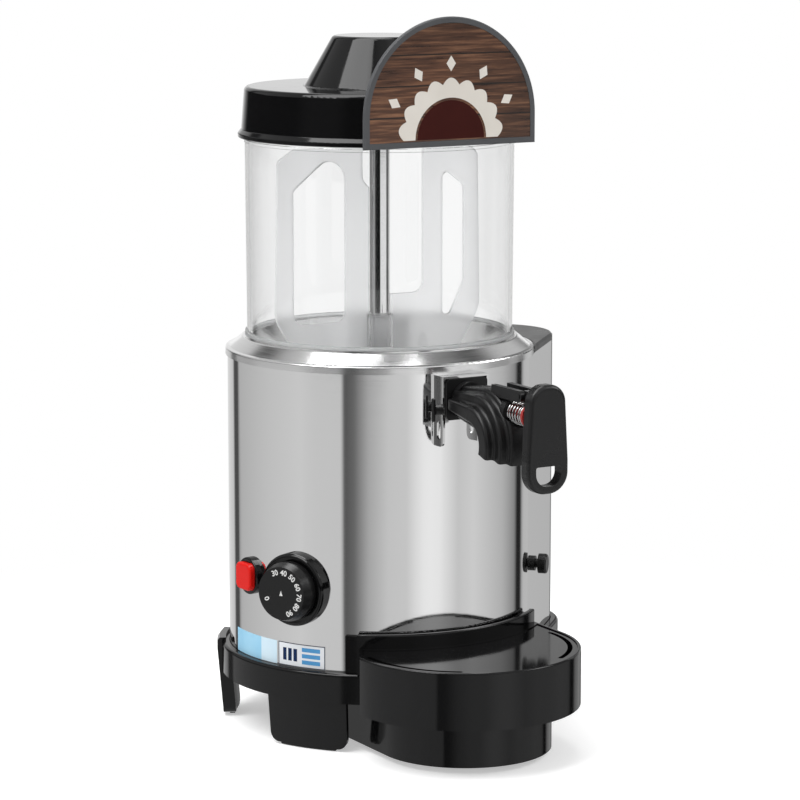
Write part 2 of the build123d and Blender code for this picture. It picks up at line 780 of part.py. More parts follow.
def tap_body():
    """Stepped elbow on a round neck, with a boss for the plunger and two ears for the lever."""
    ahead = forward(tap_height)
    body = ahead * rod(neck_radius, neck_start, neck_end + 4)
    body += elbow()
    body += ahead * rod(boss_radius, elbow_start, boss_front)
    body += ears()
    body += side_lugs()
    body -= ahead * rod(neck_bore, neck_start - 5, spigot_end + slide_gap)
    body -= ahead * rod(seal_radius, neck_start + 2, neck_start + 2 + seal_width)
    body -= ahead * rod(spring_radius + 2 * spring_wire, boss_front, pivot_y)
    chamber = spigot_end + slide_gap + seat_thickness
    outlet = elbow_start + spout_bore_place
    body -= ahead * rod(seat_bore, spigot_end, outlet)
    body -= ahead * rod(spout_bore, chamber, outlet - spout_bore)
    body -= Pos(0, -outlet + spout_bore / 2, 0) * rod(spout_bore, 0, tap_height + seat_bore / 2)
    body -= ahead * rod(rod_radius + running_gap, elbow_start, boss_front + 1)
    across = Plane((0, -side_pin_y, side_pin_height), (0, 1, 0), (1, 0, 0))
    for side in (-1, 1):
        start = side * (neck_bore + 1.9)
        end = side * 2 * neck_radius
        body -= across * rod(side_pin_radius, min(start, end), max(start, end))
    return body


def elbow_section(shrink):
    """Stepped outline across the tap: bands of different widths, from the inside of the bend outwards."""
    right = []
    level = elbow_inner
    for height, half in elbow_steps:
        right += [(half * shrink, level), (half * shrink, level + height)]
        level += height
    centre = tap_height - elbow_axis
    right = [(x, centre + (v - centre) * shrink) for x, v in right]
    left = [(-x, v) for x, v in reversed(right)]
    return make_face(FilletPolyline(*right, *left, radius=elbow_round * shrink, close=True))


def elbow():
    """The stepped outline swept round the bend, and tapered back to the neck."""
    plane = Plane((0, -elbow_start, elbow_axis), (1, 0, 0), (0, -1, 0))
    axis = Axis((0, -elbow_start, elbow_axis), (1, 0, 0))
    bend = revolve(plane * elbow_section(1), axis, revolution_arc=elbow_turn)
    back = Plane((0, -neck_end, elbow_axis), (1, 0, 0), (0, -1, 0))
    return bend + loft([back * elbow_section(neck_shrink), plane * elbow_section(1)], ruled=True)


def ears():
    """Two arms from the top of the elbow to the lever's pin."""
    pair = None
    for side in (-1, 1):
        x = side * (ear_gap + ear_width) / 2
        plane = Plane((x, 0, 0), (0, -1, 0), (-1, 0, 0))
        run = Pos((pivot_y + ear_root) / 2, pivot_height) * Rectangle(pivot_y - ear_root, 2 * ear_radius)
        plate = run + Pos(pivot_y, pivot_height) * Circle(ear_radius)
        plate -= Pos(pivot_y, pivot_height) * Circle(pin_radius)
        arm = extrude(plane * plate, amount=ear_width / 2, both=True)
        pair = arm if pair is None else pair + arm
    return pair


def side_lugs():
    """Block on the neck that fills the bracket and carries the side pins."""
    reach = bracket_half_width - bracket_wall - slide_gap
    low = side_pin_height - side_pin_radius - 4
    high = bracket_top - bracket_wall - slide_gap
    back = neck_start + 1.5
    block = Pos(0, -back, low) * Box(
        2 * reach, neck_end - back - 1.5, high - low, align=(Align.CENTER, Align.MAX, Align.MIN))
    return fillet(block.edges().filter_by(Axis.Y), 3)


def side_pins():
    """Pins with a cross bar that hold the tap in its bracket, one from each side."""
    pins = []
    for side in (-1, 1):
        across = Plane((0, -side_pin_y, side_pin_height), (0, side, 0), (side, 0, 0))
        pin = rod(side_pin_radius - 0.01, neck_bore + 2.0, side_pin_reach)
        pin += rod(side_pin_radius + 0.7, bracket_half_width + running_gap, side_pin_reach)
        bar = SlotOverall(side_pin_bar_height, side_pin_bar_width, rotation=90)
        pin += Pos(0, 0, side_pin_reach) * extrude(bar, amount=side_pin_bar)
        pins.append(across * pin)
    return pins


def tap_bracket():
    """Bent steel bracket on the shell: a roof and two slotted legs."""
    depth = bracket_front - shell_radius + 12
    wide = 2 * bracket_half_width
    block = Pos(0, -bracket_front, bracket_bottom) * Box(
        wide, depth, bracket_top - bracket_bottom, align=(Align.CENTER, Align.MIN, Align.MIN))
    tips = block.edges().filter_by(Axis.X).group_by(Axis.Y)[0].group_by(Axis.Z)[0]
    block = fillet(tips, (bracket_front - shell_radius) * 0.45)
    inside = Pos(0, -bracket_front, bracket_bottom - 1) * Box(
        wide - 2 * bracket_wall, 2 * depth, bracket_top - bracket_bottom + 1 - bracket_wall,
        align=(Align.CENTER, Align.CENTER, Align.MIN))
    middle = (bracket_front + shell_radius - 1.5) / 2
    across = Plane((0, -middle, bracket_slot_bottom + bracket_slot_height / 2), (0, 0, 1), (1, 0, 0))
    slot = extrude(across * SlotOverall(bracket_slot_height, bracket_slot_width), amount=DEEP / 4, both=True)
    hole = Plane((0, -side_pin_y, side_pin_height), (0, 1, 0), (1, 0, 0)) * rod(
        side_pin_radius + running_gap, -DEEP / 4, DEEP / 4)
    return against_shell(block - inside - slot - hole)


def neck_seal():
    back = neck_start + 2.1
    ring = tube(seal_radius - 0.05, spigot_radius + running_gap, back, back + seal_width - 0.2)
    return forward(tap_height) * ring


def plunger():
    """Rod through the tap with the plug's back plate at one end and the spring's collar at the other."""
    seat = spigot_end + slide_gap
    collar = boss_front + spring_length
    shank = rod(rod_radius, seat - plug_length + 1, collar + collar_thickness + rod_tip)
    shank = fillet(shank.edges().group_by(Axis.Z)[-1], 1.5)
    shank += rod(plug_radius - 1, seat - plug_length, seat - plug_face - running_gap)
    shank += rod(collar_radius, collar, collar + collar_thickness)
    return forward(tap_height) * shank


def plunger_seal():
    seat = spigot_end + slide_gap
    washer = tube(plug_radius, rod_radius + running_gap, seat - plug_face - running_gap, seat - running_gap)
    return forward(tap_height) * washer


def biarc(start, start_way, end, end_way):
    """Two tangent arcs from one point and direction to another."""
    chord = end - start
    ways = start_way + end_way
    a = ways.dot(ways) - 4
    b = -2 * chord.dot(ways)
    c = chord.dot(chord)
    reach = (-b - sqrt(b * b - 4 * a * c)) / (2 * a)
    middle = (start + start_way * reach + end - end_way * reach) * 0.5
    first = TangentArc(start, middle, tangent=start_way)
    second = TangentArc(end, middle, tangent=end_way * -1)
    return [first, second]


def spring_path():
    """Straight end, a lead into the turns, quarter turns of a helix, and the same again backwards."""
    axial = Vector(0, 0, 1)
    climb = (spring_length - 2 * spring_wire - 2 * spring_lead) / spring_turns
    slope = climb / (2 * pi * spring_radius)
    level = spring_wire + spring_lead

    def place(angle):
        height = level + climb * angle / (2 * pi)
        return Vector(spring_radius * cos(angle), spring_radius * sin(angle), height)

    def way(angle):
        return Vector(-sin(angle), cos(angle), slope).normalized()

    first = Vector(spring_radius * cos(-pi / 2), spring_radius * sin(-pi / 2), spring_wire)
    last_angle = 2 * pi * spring_turns
    last = Vector(spring_radius * cos(pi / 2), spring_radius * sin(pi / 2), spring_length - spring_wire)
    edges = [Line(first - axial * spring_wire, first)]
    edges += biarc(first, axial, place(0), way(0))
    for quarter in range(4 * spring_turns):
        a = quarter * pi / 2
        b = a + pi / 2
        edges += biarc(place(a), way(a), place(b), way(b))
    edges += biarc(place(last_angle), way(last_angle), last, axial)
    edges.append(Line(last, last + axial * spring_wire))
    return Wire([edge.edge() for edge in edges])


def tap_spring():
    path = spring_path()
    section = Plane(path.position_at(0), z_dir=(0, 0, 1)) * Circle(spring_wire / 2)
    spring = sweep(section, path=path)
    spread = 400
    dots = [path.position_at(i / spread) for i in range(spread + 1)]
    skip = spread // (2 * spring_turns)
    gaps = [(dots[i] - dots[j]).length for i in range(spread) for j in range(i + skip, spread + 1)]
    print("spring: least gap between turns", round(min(gaps) - spring_wire, 2), "mm")
    volume = pi * spring_wire ** 2 / 4 * path.length
    print("spring: volume", round(spring.volume, 1), "of", round(volume, 1), "cubic mm")
    return forward(tap_height) * Pos(0, 0, boss_front) * spring


def lever_outline():
    wide = lever_low_width / 2
    narrow = lever_top_width / 2
    return make_face(FilletPolyline(
        (-narrow, lever_top), (-wide, lever_wide_height), (-wide, lever_bottom),
        (wide, lever_bottom), (wide, lever_wide_height), (narrow, lever_top),
        radius=[narrow * 0.92, 8, wide * 0.9, wide * 0.9, 8, narrow * 0.92], close=True))


def tap_lever():
    """Broad hand lever with a D-shaped finger slot, a lug on the pin and a pad on the plunger."""
    plane = Plane((0, -lever_back, 0), (1, 0, 0), (0, -1, 0))
    plate = extrude(plane * lever_outline(), amount=lever_thickness)
    plate = fillet(plate.edges().group_by(Axis.Y)[0], lever_edge)
    half = lever_slot_width / 2
    slot = make_face(FilletPolyline(
        (-half, lever_slot_top), (-half, lever_slot_bottom),
        (half, lever_slot_bottom), (half, lever_slot_top),
        radius=[1.5, half * 0.9, half * 0.9, 1.5], close=True))
    plate -= extrude(plane * slot, amount=4 * lever_thickness, both=True)
    lug_width = ear_gap - 2 * slide_gap
    side = Plane((0, 0, 0), (0, -1, 0), (-1, 0, 0))
    run = Pos((pivot_y + lever_back) / 2 + 1, pivot_height) * Rectangle(
        lever_back - pivot_y + 2, 2 * ear_radius)
    lug = run + Pos(pivot_y, pivot_height) * Circle(ear_radius)
    tip = boss_front + spring_length + collar_thickness + rod_tip + slide_gap
    pad = Pos((tip + lever_back) / 2 + 1, (tap_height + pivot_height) / 2 - 4) * Rectangle(
        lever_back - tip + 2, pivot_height - tap_height + 4)
    arm = extrude(side * (lug + pad), amount=lug_width / 2, both=True)
    bore = side * Pos(pivot_y, pivot_height, 0) * Cylinder(pin_radius + running_gap, DEEP)
    return plate + arm - bore


def lever_pin():
    side = Plane((0, 0, 0), (0, -1, 0), (-1, 0, 0))
    reach = ear_gap / 2 + ear_width
    pin = rod(pin_radius - 0.01, -reach - 0.5, reach + 0.5)
    return side * Pos(pivot_y, pivot_height, 0) * pin


def tray_outline(inset):
    """Plan of the tray's upper part: a disc, trimmed at the left rear, with a straight right side."""
    half = tray_radius - inset
    disc = Pos(0, -tray_centre) * Circle(half)
    disc += Pos(half / 2, -(tray_centre + tray_side_back) / 2) * Rectangle(half, tray_centre - tray_side_back)
    corner = tray_trim_half_width - inset
    side = corner + tray_trim_run
    front = tray_trim_back + tray_trim_run * tray_trim_slope
    far = tray_centre + 2 * tray_radius
    keep = make_face(Polyline(
        (-side, -far), (-side, -front), (-corner, -tray_trim_back), (0, -tray_trim_back),
        (0, -tray_side_back), (far, -tray_side_back), (far, -far), close=True))
    return disc & keep


def foot_outline(inset):
    """Plan of the tray's lower part: a half disc with straight sides running back."""
    half = tray_foot_radius - inset
    disc = Pos(0, -tray_centre) * Circle(half)
    back = tray_foot_back + inset
    run = Pos(0, -(tray_centre + back) / 2) * Rectangle(2 * half, tray_centre - back)
    behind = Pos(0, -back + half) * Rectangle(2 * half, 2 * half)
    return disc + run - behind


def drip_tray():
    """Upper part of the tray, with a ledge for its grille and a splash wall along the shell."""
    hug = upstand_radius() + slide_gap
    ledge = tray_rim - grille_drop - grille_thickness
    upper = prism(tray_outline(0), tray_step, tray_rim)
    upper = fillet(upper.edges().group_by(Axis.Z)[-1].filter_by(GeomType.CIRCLE), 1.2)
    body = upper - prism(tray_outline(tray_wall) - Circle(base_clear + tray_wall), ledge, DEEP)
    well = tray_outline(tray_wall + tray_ledge) - Circle(base_clear + tray_wall + tray_ledge)
    body -= prism(well, tray_step + tray_wall, DEEP)
    foot_well = foot_outline(tray_wall) - Circle(base_clear + tray_wall + tray_ledge)
    body -= prism(foot_well, tray_step - 1, tray_step + tray_wall + 1)
    middle = (tray_wall_right - tray_wall_left) / 2
    span = tray_wall_right + tray_wall_left
    splash = prism(
        (Circle(hug + tray_wall_thickness) - Circle(hug)) & sector(middle, span, DEEP),
        base_top + running_gap, tray_wall_top)
    tops = splash.edges().group_by(Axis.Z)[-1]
    body += fillet(tops, 1.2)
    body -= rod(hug, tray_step - 1, DEEP)
    body -= rod(base_clear, tray_step - slide_gap, base_top + running_gap)
    return body


def tray_foot():
    """Lower well of the tray, under its step."""
    body = prism(foot_outline(0), tray_floor_gap, tray_step)
    body -= prism(foot_outline(tray_wall), tray_floor_gap + tray_wall, tray_step + 1)
    return body - rod(base_clear, tray_step - slide_gap, tray_step + 1)


def drip_grille():
    """Plate inside the tray's rim, with a curved slot along each side."""
    low = tray_rim - grille_drop - grille_thickness
    outline = tray_outline(tray_wall + slide_gap) - Circle(base_clear + tray_wall + slide_gap)
    plate = prism(outline, low, low + grille_thickness)
    sweep_angle = grille_slot_rear - grille_slot_front
    arc = CenterArc((0, -tray_centre), grille_slot_radius, grille_slot_front, sweep_angle)
    slot = prism(SlotArc(arc, grille_slot_width), low - 1, DEEP)
    return plate - slot - mirror(slot, about=Plane.YZ)


single_pieces = (
    base_frame, bottom_cover, outer_shell, side_duct_cap, top_deck, bowl, bath_pan, heater_ring, column,
    motor_plate, gear_motor, drive_shaft, drive_head, stirrer, tank, tank_gasket, lid, panel_frame,
    panel_board, thermostat_body, knob_bezel, thermostat_knob, button_bezel, switch_body, power_button,
    reset_collar, limiter_body, reset_button, tap_body, tap_bracket, neck_seal, plunger, plunger_seal,
    tap_spring, tap_lever, lever_pin, drip_tray, tray_foot, drip_grille,
)
grouped_pieces = (foot_pads, cover_screws, column_bushes, side_pins)
for make in single_pieces:
    nodes[make.__name__] = make()
for make in grouped_pieces:
    nodes[make.__name__] = Compound([piece.solid() for piece in make()])

# The finished frame has its origin at the middle of the part's footprint box, on the table
whole = Compound([solid for shape in nodes.values() for solid in shape.solids()]).bounding_box()
middle = whole.center()
home = Pos(-middle.X, -middle.Y, -whole.min.Z)
print("tank axis at", round(-middle.X, 4), round(-middle.Y, 4), "size", whole.size)
os.makedirs("parts", exist_ok=True)
for name, shape in nodes.items():
    export_step(home * shape, f"parts/{name}.step")
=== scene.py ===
# %% [markdown]
# # A hot drinks dispenser, dressed in Blender
# The machine is a steel drum on black legs, with a clear stirred tank, a lever tap and a drip tray.
# Its solids come from the CAD model and stay where they are. This lesson gives each one a finish,
# adds what is printed or marked on it, and sets up the studio it is seen in.

# %% Load the solids
import json
from math import cos, pi, radians, sin

import bmesh
import bpy
import numpy as np
from mathutils import Matrix, Vector


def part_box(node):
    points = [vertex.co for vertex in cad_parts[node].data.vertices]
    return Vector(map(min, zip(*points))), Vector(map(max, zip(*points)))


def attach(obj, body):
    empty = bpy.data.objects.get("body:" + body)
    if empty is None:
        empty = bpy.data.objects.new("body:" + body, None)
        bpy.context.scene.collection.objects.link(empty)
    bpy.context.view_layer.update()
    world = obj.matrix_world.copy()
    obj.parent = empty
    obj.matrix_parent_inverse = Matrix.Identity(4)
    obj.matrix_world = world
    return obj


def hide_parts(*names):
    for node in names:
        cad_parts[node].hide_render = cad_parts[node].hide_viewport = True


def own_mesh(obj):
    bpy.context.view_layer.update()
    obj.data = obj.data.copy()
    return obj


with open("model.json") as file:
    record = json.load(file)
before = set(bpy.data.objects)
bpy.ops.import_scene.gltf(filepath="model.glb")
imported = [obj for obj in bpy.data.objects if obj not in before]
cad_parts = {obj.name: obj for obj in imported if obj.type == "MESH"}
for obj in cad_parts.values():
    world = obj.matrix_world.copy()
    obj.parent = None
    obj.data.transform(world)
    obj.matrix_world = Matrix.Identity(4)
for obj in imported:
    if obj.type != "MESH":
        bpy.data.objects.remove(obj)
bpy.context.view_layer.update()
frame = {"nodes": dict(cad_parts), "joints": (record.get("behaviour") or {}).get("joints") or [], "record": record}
nodes = frame["nodes"]
tank_low, tank_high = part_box("tank")
axis_x = (tank_low.x + tank_high.x) / 2
axis_y = (tank_low.y + tank_high.y) / 2
print("solids", len(nodes), "tank axis", round(axis_x, 4), round(axis_y, 4))

# %% [markdown]
# ## The camera
# A long lens, a little above the lid and to the left of the front, keeps the drum's sides nearly
# parallel. The camera stands off by a distance from the tank's axis, turned round it from the front,
# and its heading and pitch aim it at the middle of the machine.

# %% Camera
view_turn = 29.5
heading, pitch = radians(29.8585), radians(9.37)
distance, eye_height = 2.3961, 0.6339
eye = Vector((axis_x - distance * sin(radians(view_turn)),
              axis_y - distance * cos(radians(view_turn)), eye_height))
look = Vector((sin(heading) * cos(pitch), cos(heading) * cos(pitch), -sin(pitch)))
lens = bpy.data.cameras.new("camera")
lens.sensor_fit = "HORIZONTAL"
lens.sensor_width = 36.0
lens.lens = 147.34
lens.clip_end = 50.0
camera = bpy.data.objects.new("camera", lens)
camera.location = eye
camera.rotation_euler = look.to_track_quat("-Z", "Y").to_euler()
bpy.context.collection.objects.link(camera)
bpy.context.scene.camera = camera
bpy.context.scene.view_settings.view_transform = "Standard"
print("camera at", tuple(round(v, 3) for v in eye))

# %% [markdown]
# ## Nodes from code
# Room, floor and finishes are all made of shader nodes. A few helpers keep them readable: one makes a
# node with its values in one line, one joins two nodes, and one feeds a socket either a plain value or
# what another node puts out.


# %% Node helpers
def add_node(tree, kind, **values):
    """Make a node and set its properties, or its sockets where the name is a socket's."""
    node = tree.nodes.new(kind)
    for name, value in values.items():
        if hasattr(node, name):
            setattr(node, name, value)
        else:
            node.inputs[name.replace("_", " ")].default_value = value
    return node


def link(tree, out_node, out_name, in_node, in_name):
    """Join one output to one input, each given by its name or number."""
    tree.links.new(out_node.outputs[out_name], in_node.inputs[in_name])


def feed(tree, socket, source):
    """Link an output to a socket, or set the socket where the source is a plain value."""
    if isinstance(source, bpy.types.NodeSocket):
        tree.links.new(source, socket)
    else:
        socket.default_value = source


def reckon(tree, operation, *values):
    """What a Math node makes of numbers or of other nodes' outputs."""
    node = add_node(tree, "ShaderNodeMath", operation=operation)
    for socket, value in zip(node.inputs, values):
        feed(tree, socket, value)
    return node.outputs[0]


def fill_ramp(ramp, stops):
    """Give a colour ramp its stops, each a position from 0 to 1 and a colour."""
    elements = ramp.color_ramp.elements
    while len(elements) < len(stops):
        elements.new(0.5)
    for element, (position, colour) in zip(elements, stops):
        element.position = position
        element.color = (*colour, 1)


# %% [markdown]
# ## The studio
# Polished steel has no colour of its own: it shows the room. A white room with a dark gap to each side
# and one soft dark flag beside the camera gives the drum its upright bands. The camera looks down more
# steeply on the drum than on the lid, and a ray keeps its slope when an upright wall mirrors it. So the
# drum, the tank's column and the lid can each have a backdrop of their own: the side of the black lid
# meets dark cloth, with white only behind it. A backdrop is a list of bearings in degrees and grey
# levels. A bearing of 0 is the camera's side, 90 is its right and 180 is behind the machine.

# %% Backdrops
room = ((-180, 0.85), (-147.5, 0.62), (-143.5, 0.08), (-136, 0.08), (-133, 0.50), (-92, 0.63),
        (-62, 0.70), (-50, 0.66), (-29, 0.65), (-26.5, 0.10), (-19, 0.16), (-8, 0.46), (6, 0.65),
        (20, 0.68), (27, 0.84), (33, 0.95), (39, 0.98), (45, 0.95), (61, 0.66), (75, 0.73),
        (106, 0.52), (123, 0.28), (128, 0.02), (134, 0.02), (138, 0.40), (142, 0.54), (154, 0.54),
        (158, 0.40), (164, 0.20), (172, 0.12), (180, 0.85))
tank_bands = ((-180, 0.8), (-150, 0.6), (-140, 0.3), (-112, 0.15), (-100, 0.4), (-62, 0.45),
              (-53, 0.25), (-48, 0.01), (5, 0.01), (11, 0.95), (74, 1.0), (86, 0.4), (90, 0.03),
              (108, 0.03), (114, 0.5), (150, 0.7), (180, 0.8))
lid_bands = ((-180, 1.0), (-165, 1.0), (-155, 0.5), (-146, 0.02), (-75, 0.02), (-62, 0.12),
             (-36, 0.12), (-26, 0.02), (146, 0.02), (155, 0.5), (165, 1.0), (180, 1.0))
tank_rise, lid_rise = (-0.1425, -0.084), (-0.084, 0.12)
print("backdrops of", len(room), len(tank_bands), "and", len(lid_bands), "levels")

# %% [markdown]
# The world turns a ray's direction into its bearing and its rise, which is the z of the direction. The
# bearing picks a level from each backdrop's ramp, and the rise picks the backdrop. A ray sees them once
# it has been mirrored. Other rays that the camera sends, straight or through the clear tank, meet plain
# white, and the rest of the light is soft and even.

# %% Bearing and rise of a ray
world = bpy.data.worlds.new("studio")
bpy.context.scene.world = world
world.use_nodes = True
sky = world.node_tree
sky.nodes.clear()
ray_way = add_node(sky, "ShaderNodeTexCoord")
ray_turned = add_node(sky, "ShaderNodeMapping", Rotation=(0, 0, radians(90 + view_turn)))
ray_parts = add_node(sky, "ShaderNodeSeparateXYZ")
link(sky, ray_way, "Generated", ray_turned, "Vector")
link(sky, ray_turned, "Vector", ray_parts, "Vector")
ray_bearing = add_node(sky, "ShaderNodeMapRange", From_Min=-pi, From_Max=pi)
feed(sky, ray_bearing.inputs["Value"],
     reckon(sky, "ARCTAN2", ray_parts.outputs["Y"], ray_parts.outputs["X"]))
print("world", world.name)


# %% Layers of light
def plain_light(strength):
    """White light from all round."""
    return add_node(sky, "ShaderNodeBackground", Color=(1, 1, 1, 1), Strength=strength).outputs[0]


def backdrop(levels):
    """Light that follows a ramp of grey levels round the horizon."""
    ramp = add_node(sky, "ShaderNodeValToRGB")
    fill_ramp(ramp, [((degrees + 180) / 360, (level, level, level)) for degrees, level in levels])
    light = add_node(sky, "ShaderNodeBackground", Strength=1.0)
    link(sky, ray_bearing, "Result", ramp, "Fac")
    link(sky, ramp, "Color", light, "Color")
    return light.outputs[0]


def between(low, high):
    """One where a ray's rise lies between two limits, and zero elsewhere."""
    return reckon(sky, "COMPARE", ray_parts.outputs["Z"], (low + high) / 2, (high - low) / 2)


def layer(mask, under, over):
    """Light that is over where the mask is one, and under where it is zero."""
    node = add_node(sky, "ShaderNodeMixShader")
    for socket, source in zip(node.inputs, (mask, under, over)):
        feed(sky, socket, source)
    return node.outputs[0]


mirror_light = layer(between(*tank_rise), backdrop(room), backdrop(tank_bands))
mirror_light = layer(between(*lid_rise), mirror_light, backdrop(lid_bands))
ray_kind = add_node(sky, "ShaderNodeLightPath").outputs
ray_seen = reckon(sky, "MAXIMUM", ray_kind["Is Camera Ray"], ray_kind["Is Transmission Ray"])
ray_mirrored = reckon(sky, "MINIMUM", ray_kind["Glossy Depth"], 1.0)
room_light = layer(ray_mirrored, layer(ray_seen, plain_light(0.55), plain_light(1.0)), mirror_light)
feed(sky, add_node(sky, "ShaderNodeOutputWorld").inputs["Surface"], room_light)
print("world of", len(sky.nodes), "nodes")

# %% [markdown]
# ## Floor
# The floor is a plain pale sheet that keeps the machine's shadow. A small glow that only the camera
# sees lifts it to white, and away from the machine the sheet fades into the white of the room, so no
# horizon shows. It lies a hair below the pads, so that the two faces don't flicker.

# %% Floor
half_floor, floor_drop = 4.0, 0.0004
paper_grey, paper_glow = 0.80, 0.44
fade_from, fade_to = 0.2, 0.6


def from_axis(tree):
    """A point's distance from the tank's upright axis: its place with z left out, less the axis."""
    place = add_node(tree, "ShaderNodeTexCoord")
    flat = add_node(tree, "ShaderNodeMapping", Scale=(1, 1, 0))
    apart = add_node(tree, "ShaderNodeVectorMath", operation="DISTANCE")
    apart.inputs[1].default_value = (axis_x, axis_y, 0)
    link(tree, place, "Object", flat, "Vector")
    link(tree, flat, "Vector", apart, 0)
    return apart.outputs["Value"]


def floor_paper():
    """Matt grey paper that the camera sees as white, and as nothing but white further out."""
    paper = bpy.data.materials.new("studio_floor")
    paper.use_nodes = True
    tree = paper.node_tree
    tree.nodes.clear()
    seen = add_node(tree, "ShaderNodeLightPath").outputs["Is Camera Ray"]
    matt = add_node(tree, "ShaderNodeBsdfDiffuse", Color=(paper_grey, paper_grey, paper_grey, 1))
    glow = add_node(tree, "ShaderNodeEmission", Color=(1, 1, 1, 1))
    feed(tree, glow.inputs["Strength"], reckon(tree, "MULTIPLY", seen, paper_glow))
    near = add_node(tree, "ShaderNodeAddShader")
    link(tree, matt, 0, near, 0)
    link(tree, glow, 0, near, 1)
    far = add_node(tree, "ShaderNodeEmission", Color=(1, 1, 1, 1), Strength=1.0)
    fade = add_node(tree, "ShaderNodeMapRange", interpolation_type="SMOOTHSTEP",
                    From_Min=fade_from, From_Max=fade_to)
    feed(tree, fade.inputs["Value"], from_axis(tree))
    whole = add_node(tree, "ShaderNodeMixShader")
    feed(tree, whole.inputs[0], reckon(tree, "MULTIPLY", fade.outputs["Result"], seen))
    link(tree, near, 0, whole, 1)
    link(tree, far, 0, whole, 2)
    link(tree, whole, 0, add_node(tree, "ShaderNodeOutputMaterial"), "Surface")
    return paper


floor_mesh = bpy.data.meshes.new("floor")
floor_mesh.from_pydata([(half_floor * x, half_floor * y, -floor_drop)
                        for x, y in ((-1, -1), (1, -1), (1, 1), (-1, 1))], [], [(0, 1, 2, 3)])
floor_mesh.materials.append(floor_paper())
floor = bpy.data.objects.new("floor", floor_mesh)
bpy.context.collection.objects.link(floor)
floor.visible_glossy = False
floor.visible_transmission = False
print("floor of", 2 * half_floor, "m")

# %% [markdown]
# ## Lamps
# Large lamps high on the left, on the right and above put soft lines on the rounded edges of the black
# mouldings. The larger a lamp is, the softer the shadow that it leaves on the floor.

# %% Lamps
lamp_aim = Vector((axis_x, axis_y, 0.28))


def soft_lamp(name, place, size, watts):
    """A square lamp that faces the middle of the machine."""
    light = bpy.data.lights.new(name, "AREA")
    light.shape = "SQUARE"
    light.size = size
    light.energy = watts
    lamp = bpy.data.objects.new(name, light)
    lamp.location = place
    lamp.rotation_euler = (lamp_aim - Vector(place)).to_track_quat("-Z", "Y").to_euler()
    bpy.context.collection.objects.link(lamp)
    print(name, watts, "W,", size, "m across")


soft_lamp("key_lamp", (axis_x - 1.35, axis_y - 0.15, 2.3), 1.6, 45)
soft_lamp("side_lamp", (1.7, -1.0, 1.7), 1.0, 16)
soft_lamp("top_lamp", (axis_x, axis_y + 0.3, 2.4), 1.2, 18)

# %% [markdown]
# ## Shared surface effects
# Two things happen on most of these surfaces. Polished metal keeps fine marks that run round the drum,
# and moulded plastic has a faint grain and uneven gloss. Each is a node group, made once, with named
# inputs, so every finish can ask for its own scale.


# %% Node groups
def new_group(name, inputs, outputs):
    """A shader group with float inputs, given as (name, value), and named float outputs."""
    group = bpy.data.node_groups.new(name, "ShaderNodeTree")
    for label, value in inputs:
        socket = group.interface.new_socket(label, in_out="INPUT", socket_type="NodeSocketFloat")
        socket.default_value = value
    for label in outputs:
        group.interface.new_socket(label, in_out="OUTPUT", socket_type="NodeSocketFloat")
    return group, add_node(group, "NodeGroupInput"), add_node(group, "NodeGroupOutput")


def polish_marks():
    """Long fine streaks: noise on a space that is squeezed along z, plus broad cloudy haze."""
    group, start, end = new_group("polish_marks", (("Scale", 60.0), ("Haze Scale", 6.0)),
                                  ("Marks", "Haze"))
    place = add_node(group, "ShaderNodeTexCoord")
    squeeze = add_node(group, "ShaderNodeMapping", Scale=(0.6, 0.6, 22.0))
    streak = add_node(group, "ShaderNodeTexNoise", Detail=4.0, Roughness=0.6)
    cloud = add_node(group, "ShaderNodeTexNoise", Detail=3.0, Roughness=0.55)
    link(group, place, "Object", squeeze, "Vector")
    link(group, squeeze, "Vector", streak, "Vector")
    link(group, place, "Object", cloud, "Vector")
    link(group, start, "Scale", streak, "Scale")
    link(group, start, "Haze Scale", cloud, "Scale")
    link(group, streak, "Fac", end, "Marks")
    link(group, cloud, "Fac", end, "Haze")
    return group


def moulded_grain():
    """A fine even grain for height, and a broad mottle for gloss."""
    group, start, end = new_group("moulded_grain", (("Grain Scale", 900.0), ("Mottle Scale", 25.0)),
                                  ("Grain", "Mottle"))
    place = add_node(group, "ShaderNodeTexCoord")
    fine = add_node(group, "ShaderNodeTexNoise", Detail=2.0, Roughness=0.5)
    broad = add_node(group, "ShaderNodeTexNoise", Detail=3.0, Roughness=0.6)
    for texture in (fine, broad):
        link(group, place, "Object", texture, "Vector")
    link(group, start, "Grain Scale", fine, "Scale")
    link(group, start, "Mottle Scale", broad, "Scale")
    link(group, fine, "Fac", end, "Grain")
    link(group, broad, "Fac", end, "Mottle")
    return group


marks_group = polish_marks()
grain_group = moulded_grain()
print("groups", marks_group.name, grain_group.name)

# %% [markdown]
# ## Finishes
# Each finish is one Principled shader. Values that are the same all over sit on its own sockets, and a
# group only drives what changes over the surface: colour, roughness and the height of a bump.


# %% Makers of finishes
def principled(name, **sockets):
    """A new material with one Principled shader and the plain values on its sockets."""
    material = bpy.data.materials.new(name)
    material.use_nodes = True
    shader = material.node_tree.nodes["Principled BSDF"]
    for label, value in sockets.items():
        shader.inputs[label.replace("_", " ")].default_value = value
    return material, material.node_tree, shader


def use_group(tree, group, **values):
    """Place a shared group in a material with this material's own values."""
    node = tree.nodes.new("ShaderNodeGroup")
    node.node_tree = group
    for label, value in values.items():
        node.inputs[label.replace("_", " ")].default_value = value
    return node


def mix_colours(tree, share, first, second, kind="MIX"):
    """Two colours mixed by a share, each a plain value or another node's output."""
    node = add_node(tree, "ShaderNodeMix", data_type="RGBA", blend_type=kind)
    colour_a, colour_b = node.inputs[6], node.inputs[7]
    for socket, source in ((node.inputs["Factor"], share), (colour_a, first), (colour_b, second)):
        feed(tree, socket, source)
    return node.outputs[2]


